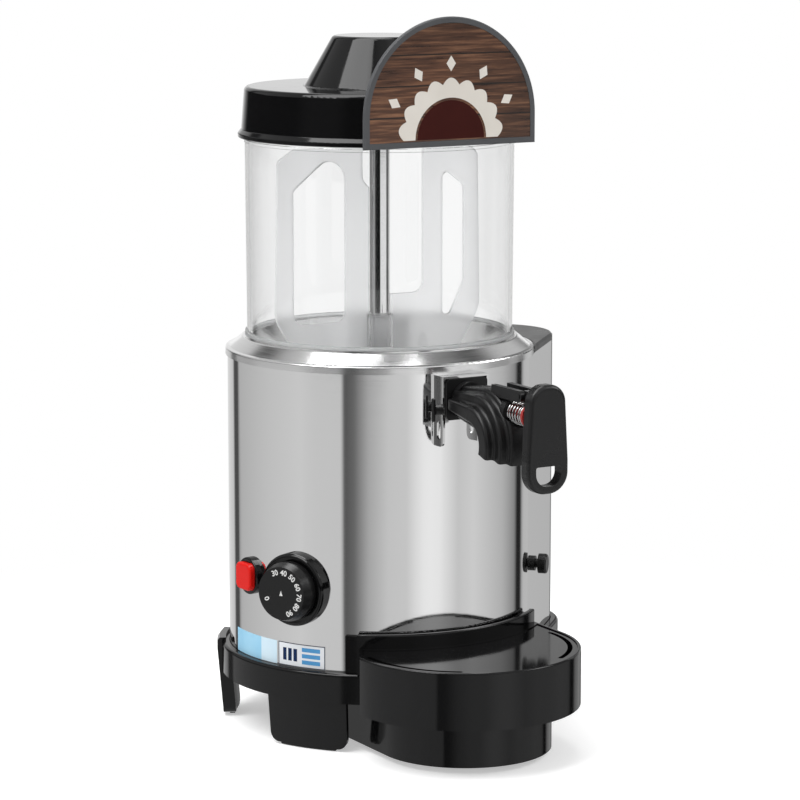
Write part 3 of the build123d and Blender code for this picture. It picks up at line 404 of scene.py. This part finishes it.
def tint(tree, source, output, low, high, shader):
    """Vary the base colour between two close tones."""
    colour = mix_colours(tree, source.outputs[output], (*low, 1), (*high, 1))
    feed(tree, shader.inputs["Base Color"], colour)


def spread(tree, source, output, low, high, shader, socket):
    """Carry a 0.3 to 0.7 noise value to a socket as low to high."""
    span = add_node(tree, "ShaderNodeMapRange", From_Min=0.3, From_Max=0.7, To_Min=low, To_Max=high)
    link(tree, source, output, span, "Value")
    link(tree, span, "Result", shader, socket)


def bump(tree, source, output, depth, shader):
    """Carry a value to the shader's normal as a height of depth metres."""
    relief = add_node(tree, "ShaderNodeBump", Strength=1.0, Distance=depth)
    link(tree, source, output, relief, "Height")
    link(tree, relief, "Normal", shader, "Normal")


# %% [markdown]
# Most of the machine is either bare steel or moulded plastic. A steel differs from another in tone, in
# how rough its polish is and in how fine its streaks are. A plastic differs in tone, gloss and grain.


# %% Steel and plastic
def steel(name, low, high, rough, scale, depth):
    """Bare steel: mirror to satin, streaked by its polishing."""
    material, tree, shader = principled(name, Metallic=1.0)
    marks = use_group(tree, marks_group, Scale=scale)
    tint(tree, marks, "Haze", low, high, shader)
    spread(tree, marks, "Marks", *rough, shader, "Roughness")
    bump(tree, marks, "Marks", depth, shader)
    return material


def plastic(name, low, high, rough, grain, depth, **sockets):
    """Moulded plastic or rubber with a fine grain."""
    material, tree, shader = principled(name, **sockets)
    skin = use_group(tree, grain_group, Grain_Scale=grain)
    tint(tree, skin, "Mottle", low, high, shader)
    spread(tree, skin, "Mottle", *rough, shader, "Roughness")
    bump(tree, skin, "Grain", depth, shader)
    return material


finishes = {
    "polished_steel": steel("polished_steel", (0.79, 0.79, 0.79), (0.83, 0.83, 0.83),
                            (0.035, 0.075), 60, 0.000002),
    "plain_steel": steel("plain_steel", (0.56, 0.56, 0.57), (0.66, 0.66, 0.67),
                         (0.22, 0.34), 90, 0.00001),
    "grey_metal": plastic("grey_metal", (0.30, 0.31, 0.32), (0.36, 0.37, 0.38),
                          (0.4, 0.5), 700, 0.00003),
    "brass": steel("brass", (0.68, 0.50, 0.24), (0.75, 0.58, 0.30), (0.2, 0.32), 90, 0.00001),
    "black_gloss": plastic("black_gloss", (0.0030, 0.0030, 0.0032), (0.0045, 0.0045, 0.0048),
                           (0.06, 0.11), 500, 0.000002, Specular_IOR_Level=0.32),
    "black_plastic": plastic("black_plastic", (0.0060, 0.0060, 0.0062), (0.0095, 0.0095, 0.0098),
                             (0.26, 0.36), 900, 0.00002, Specular_IOR_Level=0.32),
    "pale_silicone": plastic("pale_silicone", (0.84, 0.85, 0.85), (0.90, 0.91, 0.91),
                             (0.40, 0.50), 600, 0.00001, Transmission_Weight=0.7, IOR=1.35),
    "grey_plastic": plastic("grey_plastic", (0.060, 0.062, 0.066), (0.080, 0.082, 0.087),
                            (0.32, 0.42), 900, 0.00002),
    "red_plastic": plastic("red_plastic", (0.60, 0.008, 0.006), (0.70, 0.013, 0.009),
                           (0.14, 0.22), 600, 0.000006, Specular_IOR_Level=0.15),
    "rubber": plastic("rubber", (0.018, 0.018, 0.018), (0.026, 0.026, 0.026),
                      (0.7, 0.85), 800, 0.00004),
}
print("finishes", sorted(finishes))

# %% [markdown]
# The tank is clear, with only a trace of uneven gloss. The stirrer inside it is frosted, but its sleeve
# is polished clear where it runs on the column. The distance from the column's axis tells the two
# apart, and only the roughness changes.

# %% Clear tank and frosted stirrer
sleeve_clear, sleeve_frosted = 0.0095, 0.0115
clear_rough, frosted_rough = 0.04, 0.5


def clear_tank(name):
    """Clear plastic that bends light a little."""
    material, tree, shader = principled(name, Base_Color=(0.985, 0.987, 0.987, 1),
                                        Transmission_Weight=1.0, IOR=1.45)
    skin = use_group(tree, grain_group, Grain_Scale=200.0, Mottle_Scale=12.0)
    spread(tree, skin, "Mottle", 0.0, 0.02, shader, "Roughness")
    return material


def frosted_plastic(name):
    """Milky plastic whose roughness rises from clear to frosted away from the column."""
    material, tree, shader = principled(name, Transmission_Weight=0.88, IOR=1.1)
    skin = use_group(tree, grain_group, Grain_Scale=800.0)
    tint(tree, skin, "Mottle", (0.885, 0.89, 0.895), (0.915, 0.915, 0.92), shader)
    bump(tree, skin, "Grain", 0.000006, shader)
    frost = add_node(tree, "ShaderNodeMapRange", From_Min=sleeve_clear, From_Max=sleeve_frosted,
                     To_Min=clear_rough, To_Max=frosted_rough)
    feed(tree, frost.inputs["Value"], from_axis(tree))
    link(tree, frost, "Result", shader, "Roughness")
    return material


finishes["clear_tank"] = clear_tank("clear_tank")
finishes["frosted_plastic"] = frosted_plastic("frosted_plastic")
print("frosted beyond", sleeve_frosted * 1000, "mm from the column's axis")

# %% [markdown]
# ## The panel's board
# The board is a print under a clear skin: brown planks with a grain that runs along them. Planks are
# cut from z by rounding it down to a row number, and each row shifts the grain so that no two match.
# A thin dark gap ends each row, and a broad stain darkens parts of the whole, as on old boards.

# %% Plank print
planks_per_metre, plank_shift, gap_from = 46.0, 0.37, 0.955
grain_stretch = (9.0, 1.0, 150.0)
plank_tones = ((0.28, (0.024, 0.009, 0.0045)), (0.5, (0.100, 0.040, 0.019)),
               (0.74, (0.28, 0.130, 0.064)))
gap_tone = (0.010, 0.005, 0.003, 1)


def plank_grain(tree, place, rows):
    """Noise drawn out along the planks, moved sideways by the number of the row."""
    stretch = add_node(tree, "ShaderNodeMapping", Scale=grain_stretch)
    shift = add_node(tree, "ShaderNodeCombineXYZ")
    moved = add_node(tree, "ShaderNodeVectorMath", operation="ADD")
    grain = add_node(tree, "ShaderNodeTexNoise", Scale=3.0, Detail=6.0, Roughness=0.62)
    feed(tree, shift.inputs["X"], reckon(tree, "MULTIPLY", reckon(tree, "FLOOR", rows), plank_shift))
    link(tree, place, "Object", stretch, "Vector")
    link(tree, stretch, "Vector", moved, 0)
    link(tree, shift, "Vector", moved, 1)
    link(tree, moved, "Vector", grain, "Vector")
    return grain


def plank_print(name):
    """Planks: the grain's value picks a brown, the stain darkens it, and the gaps are laid over."""
    material, tree, shader = principled(name, Coat_Weight=0.3, Coat_Roughness=0.12)
    place = add_node(tree, "ShaderNodeTexCoord")
    parts = add_node(tree, "ShaderNodeSeparateXYZ")
    link(tree, place, "Object", parts, "Vector")
    rows = reckon(tree, "MULTIPLY", parts.outputs["Z"], planks_per_metre)
    grain = plank_grain(tree, place, rows)
    browns = add_node(tree, "ShaderNodeValToRGB")
    fill_ramp(browns, plank_tones)
    link(tree, grain, "Fac", browns, "Fac")
    stain = add_node(tree, "ShaderNodeTexNoise", Scale=14.0, Detail=2.0)
    depth = add_node(tree, "ShaderNodeMapRange", From_Min=0.35, From_Max=0.65, To_Min=0.42, To_Max=1.1)
    link(tree, place, "Object", stain, "Vector")
    link(tree, stain, "Fac", depth, "Value")
    stained = mix_colours(tree, 1.0, browns.outputs["Color"], depth.outputs["Result"], "MULTIPLY")
    gap = reckon(tree, "GREATER_THAN", reckon(tree, "FRACT", rows), gap_from)
    feed(tree, shader.inputs["Base Color"], mix_colours(tree, gap, stained, gap_tone))
    spread(tree, grain, "Fac", 0.26, 0.36, shader, "Roughness")
    return material


finishes["brown_board"] = plank_print("brown_board")
print("plank rows", round(0.1 * planks_per_metre), "per 100 mm")

# %% [markdown]
# ## Dress the solids
# The record says which finish each solid takes, so the loop only looks it up. A few pieces differ a
# little from others of their kind: the bowl is polished inside, the deck is satin, the spring is bright
# wire, the plunger is a darker red and the lever is worn less glossy by hands. The clear tank lets the
# lamps through, so it throws no shadow on what it holds.

# %% Dress the solids
slot_of = {row["node"]: row["material_slot"] for row in frame["record"]["subparts"]}
for name, solid in nodes.items():
    solid.data.materials.clear()
    solid.data.materials.append(finishes[slot_of[name]])
own_finish = {
    "bowl": steel("bowl_steel", (0.84, 0.84, 0.84), (0.90, 0.90, 0.90), (0.12, 0.20), 70, 0.000004),
    "top_deck": steel("deck_steel", (0.80, 0.80, 0.80), (0.85, 0.85, 0.85),
                      (0.14, 0.20), 60, 0.000003),
    "tap_spring": steel("spring_wire", (0.66, 0.66, 0.66), (0.74, 0.74, 0.74),
                        (0.10, 0.16), 200, 0.000002),
    "plunger": plastic("plunger_red", (0.30, 0.020, 0.018), (0.38, 0.030, 0.026),
                       (0.4, 0.5), 600, 0.00001),
    "tap_lever": plastic("lever_black", (0.0085, 0.0085, 0.0088), (0.0125, 0.0125, 0.0128),
                         (0.24, 0.34), 900, 0.00001, Specular_IOR_Level=0.35),
}
for name, finish in own_finish.items():
    nodes[name].data.materials[0] = finish
nodes["tank"].visible_shadow = False
print("dressed", len(slot_of), "solids,", len(own_finish), "with a finish of their own")

# %% [markdown]
# ## New pieces
# Marks, prints and the spring are new meshes. Most are a skin over a row of sections: numpy works out
# all the points at once, and quads join each section to the next. Each finished piece then rides on a
# body of the machine, so that it moves with it.


# %% Makers of pieces
def merge(mesh, nearness=1e-6):
    """Close the seams of a mesh by joining points that coincide, and turn its faces outwards."""
    work = bmesh.new()
    work.from_mesh(mesh)
    bmesh.ops.remove_doubles(work, verts=work.verts, dist=nearness)
    bmesh.ops.dissolve_degenerate(work, edges=work.edges, dist=nearness)
    bmesh.ops.recalc_face_normals(work, faces=work.faces)
    work.to_mesh(mesh)
    work.free()


def skin_mesh(name, sections):
    """Closed skin over a row of closed sections, given as an array of (steps, corners, 3) points.

    Corner k of one step is joined to corner k of the next by quads, and the two ends are capped.
    """
    steps, corners = sections.shape[:2]
    index = np.arange(steps * corners).reshape(steps, corners)
    beside = np.roll(index, -1, axis=1)
    quads = np.stack((index[:-1], beside[:-1], beside[1:], index[1:]), axis=-1).reshape(-1, 4)
    mesh = bpy.data.meshes.new(name)
    mesh.from_pydata(sections.reshape(-1, 3).tolist(), [],
                     quads.tolist() + [index[0, ::-1].tolist(), index[-1].tolist()])
    merge(mesh)
    return mesh


def prism_sections(outline, depth):
    """An outline of (corners, 2) points in the xy plane, at z = 0 and again at z = depth."""
    flat = np.hstack((outline, np.zeros((len(outline), 1))))
    return np.stack((flat, flat + (0, 0, depth)))


def join_meshes(name, meshes):
    """Several meshes as one."""
    work = bmesh.new()
    for mesh in meshes:
        work.from_mesh(mesh)
    whole = bpy.data.meshes.new(name)
    work.to_mesh(whole)
    work.free()
    return whole


def place_on(origin, right, up, out):
    """A matrix that carries the xy plane onto a face, by the face's own three directions."""
    return Matrix(((right.x, up.x, out.x, origin.x), (right.y, up.y, out.y, origin.y),
                   (right.z, up.z, out.z, origin.z), (0, 0, 0, 1)))


def add_piece(mesh, material, body):
    """Put a finished mesh into the scene under its own name, on a body of the machine."""
    mesh.materials.clear()
    mesh.materials.append(material)
    piece = bpy.data.objects.new(mesh.name, mesh)
    bpy.context.collection.objects.link(piece)
    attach(piece, body)
    print(piece.name, len(mesh.polygons), "faces on", body)
    return piece


# %% [markdown]
# ## Marks on the dial
# The knob's face carries white numbers round its rim, a zero mark and a small arrow. Text is turned
# into a mesh first and then carried onto the face. The knob's joint gives the direction in which the
# face looks, and the knob's furthest point along it gives the face's height.


# %% Ink and text
def white_ink(name):
    """Thin matt ink, a little uneven in tone."""
    material, tree, shader = principled(name, IOR=1.45)
    skin = use_group(tree, grain_group, Grain_Scale=1200.0)
    tint(tree, skin, "Mottle", (0.60, 0.60, 0.59), (0.72, 0.72, 0.71), shader)
    spread(tree, skin, "Mottle", 0.45, 0.55, shader, "Roughness")
    return material


def text_mesh(words, size, depth):
    """Letters of a given height as a closed mesh in the xy plane, centred on the origin."""
    curve = bpy.data.curves.new(words, "FONT")
    curve.body = words
    curve.size = size
    curve.align_x = "CENTER"
    curve.align_y = "CENTER"
    curve.extrude = depth / 2
    curve.offset = size * 0.02
    curve.resolution_u = 3
    carrier = bpy.data.objects.new(words, curve)
    bpy.context.collection.objects.link(carrier)
    bpy.context.view_layer.update()
    shaped = carrier.evaluated_get(bpy.context.evaluated_depsgraph_get())
    mesh = bpy.data.meshes.new_from_object(shaped)
    bpy.data.objects.remove(carrier)
    merge(mesh)
    return mesh


# %% Dial numbers
joint_of = {joint["name"]: joint for joint in frame["joints"]}
ink_depth = 0.00012
number_size, number_ring = 0.0056, 0.0152
first_number, number_step = -20.0, 28.7
zero_ring, zero_angle = 0.0128, 248.0
arrow_size, arrow_corners = 0.0021, np.radians((90.0, 230.0, 310.0))


def dial_mark(words, degrees, ring):
    """A number that stands upright to the rim, clockwise from the top by an angle."""
    angle = radians(degrees)
    mesh = text_mesh(words, number_size, ink_depth)
    mesh.transform(Matrix.Rotation(-angle, 4, "Z"))
    mesh.transform(Matrix.Translation((ring * sin(angle), ring * cos(angle), ink_depth / 2)))
    return mesh


def knob_face():
    """The place of the knob's face, from its joint and its furthest point along the joint's axis."""
    turn, knob = joint_of["knob_turn"], nodes["thermostat_knob"].data
    pivot, out, up = Vector(turn["pos_m"]), -Vector(turn["axis"]).normalized(), Vector((0, 0, 1))
    points = np.empty(len(knob.vertices) * 3)
    knob.vertices.foreach_get("co", points)
    reach = (points.reshape(-1, 3) - np.array(pivot)) @ np.array(out)
    return place_on(pivot + out * reach.max(), up.cross(out), up, out)


dial_marks = [dial_mark(str(30 + 10 * count), first_number + number_step * count, number_ring)
              for count in range(7)]
dial_marks.append(dial_mark("0", zero_angle, zero_ring))
arrow = arrow_size * np.stack((np.cos(arrow_corners), np.sin(arrow_corners)), axis=1)
dial_marks.append(skin_mesh("arrow", prism_sections(arrow, ink_depth)))
dial_mesh = join_meshes("dial_numbers", dial_marks)
dial_mesh.transform(knob_face())
add_piece(dial_mesh, white_ink("white_ink"), "knob")

# %% [markdown]
# ## The tap's spring
# A coil is a circle carried along a helix: at turn angle a the wire's middle is at (r cos a, r sin a),
# and it climbs slowly in the first and last turn, so that both ends lie flat. The coil stands for the
# spring's solid and fills the same space.

# %% Spring
spring_wire, spring_turns, end_climb = 0.0013, 6, 0.09
spring_low, spring_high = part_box("tap_spring")
spring_size = spring_high - spring_low


def coil_sections(radius, length, turns, wire, round_steps=14, turn_steps=36):
    """Sections of a round wire along a helix about the y axis, from y = 0 to y = length."""
    angle = np.linspace(0, 2 * np.pi * turns, turns * turn_steps + 1)
    share = np.interp(angle, 2 * np.pi * np.array((0, 1, turns - 1, turns)),
                      (0, end_climb, 1 - end_climb, 1))
    zero = np.zeros_like(angle)
    outward = np.stack((np.cos(angle), zero, np.sin(angle)), axis=1)
    middle = radius * outward + np.stack((zero, wire / 2 + (length - wire) * share, zero), axis=1)
    along = np.gradient(middle, axis=0)
    across = np.cross(along / np.linalg.norm(along, axis=1)[:, None], outward)
    circle = np.linspace(0, 2 * np.pi, round_steps, endpoint=False)[None, :, None]
    rim = np.cos(circle) * outward[:, None] + np.sin(circle) * across[:, None]
    return middle[:, None] + wire / 2 * rim


coil_mesh = skin_mesh("tap_coil", coil_sections((spring_size.x - spring_wire) / 2, spring_size.y,
                                                spring_turns, spring_wire))
coil_mesh.transform(Matrix.Translation(((spring_low.x + spring_high.x) / 2, spring_low.y,
                                        (spring_low.z + spring_high.z) / 2)))
coil_mesh.shade_smooth()
coil = add_piece(coil_mesh, own_finish["tap_spring"], "body")
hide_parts("tap_spring")
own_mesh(coil)

# %% [markdown]
# ## The panel's motif
# A painted board of this kind carries a large simple figure in cream and dark brown. Here it is a
# scalloped half-round that rises from the lower edge, with a dark half-round inside it and five small
# diamonds in an arc above. Each is a thin raised print, so it is made as a band between two radii that
# are functions of the angle.

# %% Prints
print_depth, motif_lift = 0.00012, 0.001
scallops, scallop_ring, scallop_rise = 9, 0.0385, 0.0045
cream_inside, cocoa_outside = 0.0290, 0.0272
diamond_ring, diamond_half = 0.0530, np.array((0.0055, 0.0038))


def print_finish(name, low, high):
    """Matt print with a fine tooth."""
    return plastic(name, low, high, (0.42, 0.56), 1500, 0.000006, Specular_IOR_Level=0.12)


def arc_band(inner, outer, angles, depth):
    """Sections of a band: at angle a the corners are r cos a, r sin a for both radii at both depths."""
    radii = np.stack((inner, outer, outer, inner), axis=1)
    level = np.broadcast_to(np.array((0, 0, depth, depth)), radii.shape)
    turned = angles[:, None]
    return np.stack((radii * np.cos(turned), radii * np.sin(turned), level), axis=-1)


def diamond(angle):
    """Sections of a diamond on the motif's ring, its long way pointing outwards at the angle."""
    away = np.array((cos(angle), sin(angle)))
    beside = np.array((-sin(angle), cos(angle)))
    corners = np.array(((1, 0), (0, 1), (-1, 0), (0, -1))) * diamond_half
    return prism_sections(diamond_ring * away + corners @ np.stack((away, beside)), print_depth)


def add_print(name, shapes, material, place, body):
    """Join several skins into one piece and carry it onto a face."""
    mesh = join_meshes(name, [skin_mesh("print_part", shape) for shape in shapes])
    mesh.transform(place)
    return add_piece(mesh, material, body)


board_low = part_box("panel_board")[0]
board_face = place_on(Vector((axis_x, board_low.y, board_low.z + motif_lift)), Vector((1, 0, 0)),
                      Vector((0, 0, 1)), Vector((0, -1, 0)))
sweep = np.linspace(0, np.pi, 181)
scalloped = scallop_ring + scallop_rise * np.abs(np.sin(scallops * sweep))
cream_shapes = [arc_band(np.full_like(sweep, cream_inside), scalloped, sweep, print_depth)]
cream_shapes += [diamond(angle) for angle in np.radians((30, 60, 90, 120, 150))]
cream = print_finish("cream_print", (0.66, 0.62, 0.56), (0.78, 0.74, 0.68))
add_print("panel_cream_motif", cream_shapes, cream, board_face, "lid")
half_round = arc_band(np.zeros_like(sweep), np.full_like(sweep, cocoa_outside), sweep, print_depth)
cocoa = print_finish("cocoa_print", (0.030, 0.004, 0.003), (0.058, 0.008, 0.005))
add_print("panel_cocoa_motif", [half_round], cocoa, board_face, "lid")

# %% [markdown]
# ## Labels on the drum
# Two thin plain labels sit low on the drum, just above the base: a blue one that ends in a paler strip,
# and a white one with a fine frame round three bars and three chips. A label is a plate bent to the
# drum: angle and height are its two parameters, and the radius is that of the steel.

# %% Label plates
drum_low, drum_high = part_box("outer_shell")
drum_radius = (drum_high.y - drum_low.y) / 2
label_low = drum_low.z + 0.0045
label_high = label_low + 0.0172
film_lift, film_depth = 0.00002, 0.0001
ink_lift, ink_film = film_lift + film_depth, 0.00006


def drum_plate(start, end, low, high, lift, depth):
    """Sections of a plate on the drum: (phi, z) goes to (r sin phi, -r cos phi, z) at two radii."""
    phi = np.radians(np.linspace(start, end, 25))[:, None]
    radii = drum_radius + np.array((lift, lift + depth, lift + depth, lift))
    level = np.broadcast_to(np.array((low, low, high, high)), (len(phi), 4))
    return np.stack((axis_x + radii * np.sin(phi), axis_y - radii * np.cos(phi), level), axis=-1)


def add_label(name, plates, low_tone, high_tone, lift=film_lift, depth=film_depth):
    """Plates on the drum, each (start, end, low, high), as one printed piece of the body."""
    shapes = [drum_plate(*plate, lift, depth) for plate in plates]
    finish = print_finish(name + "_print", low_tone, high_tone)
    return add_print(name, shapes, finish, Matrix.Identity(4), "body")


# %% [markdown]
# Bearings on the drum are in degrees from the front, negative to the left. The frame's lines, the bars
# and the chips are thinner films that lie on the white label.

# %% Labels
blue_start, ice_start, ice_end = -98.0, -79.6, -71.0
pale_start, pale_end = -70.2, -50.0
add_label("blue_label", [(blue_start, ice_start, label_low, label_high)],
          (0.20, 0.50, 0.74), (0.46, 0.74, 0.90))
add_label("ice_strip", [(ice_start, ice_end, label_low, label_high)],
          (0.56, 0.74, 0.86), (0.70, 0.83, 0.90))
add_label("pale_label", [(pale_start, pale_end, label_low, label_high)],
          (0.78, 0.81, 0.85), (0.86, 0.88, 0.91))
line_turn, line = 0.35, 0.0006
inner_low, inner_high = label_low + line, label_high - line
frame_lines = [(pale_start, pale_end, label_low, inner_low),
               (pale_start, pale_end, inner_high, label_high),
               (pale_start, pale_start + line_turn, inner_low, inner_high),
               (pale_end - line_turn, pale_end, inner_low, inner_high)]
add_label("label_frame", frame_lines, (0.05, 0.06, 0.08), (0.09, 0.10, 0.13), ink_lift, ink_film)
bar_start, bar_end, bar_low, bar_high, bar_step = -59.5, -52.0, 0.0026, 0.0056, 0.0046
bars = [(bar_start, bar_end, label_low + bar_low + bar_step * count,
         label_low + bar_high + bar_step * count) for count in range(3)]
add_label("label_bars", bars, (0.06, 0.28, 0.58), (0.12, 0.38, 0.68), ink_lift, ink_film)
chip_start, chip_turn, chip_step, chip_low, chip_high = -68.0, 1.6, 2.4, 0.0040, 0.0132
chips = [(chip_start + chip_step * count, chip_start + chip_turn + chip_step * count,
          label_low + chip_low, label_low + chip_high) for count in range(3)]
add_label("label_chips", chips, (0.006, 0.020, 0.075), (0.012, 0.035, 0.11), ink_lift, ink_film)
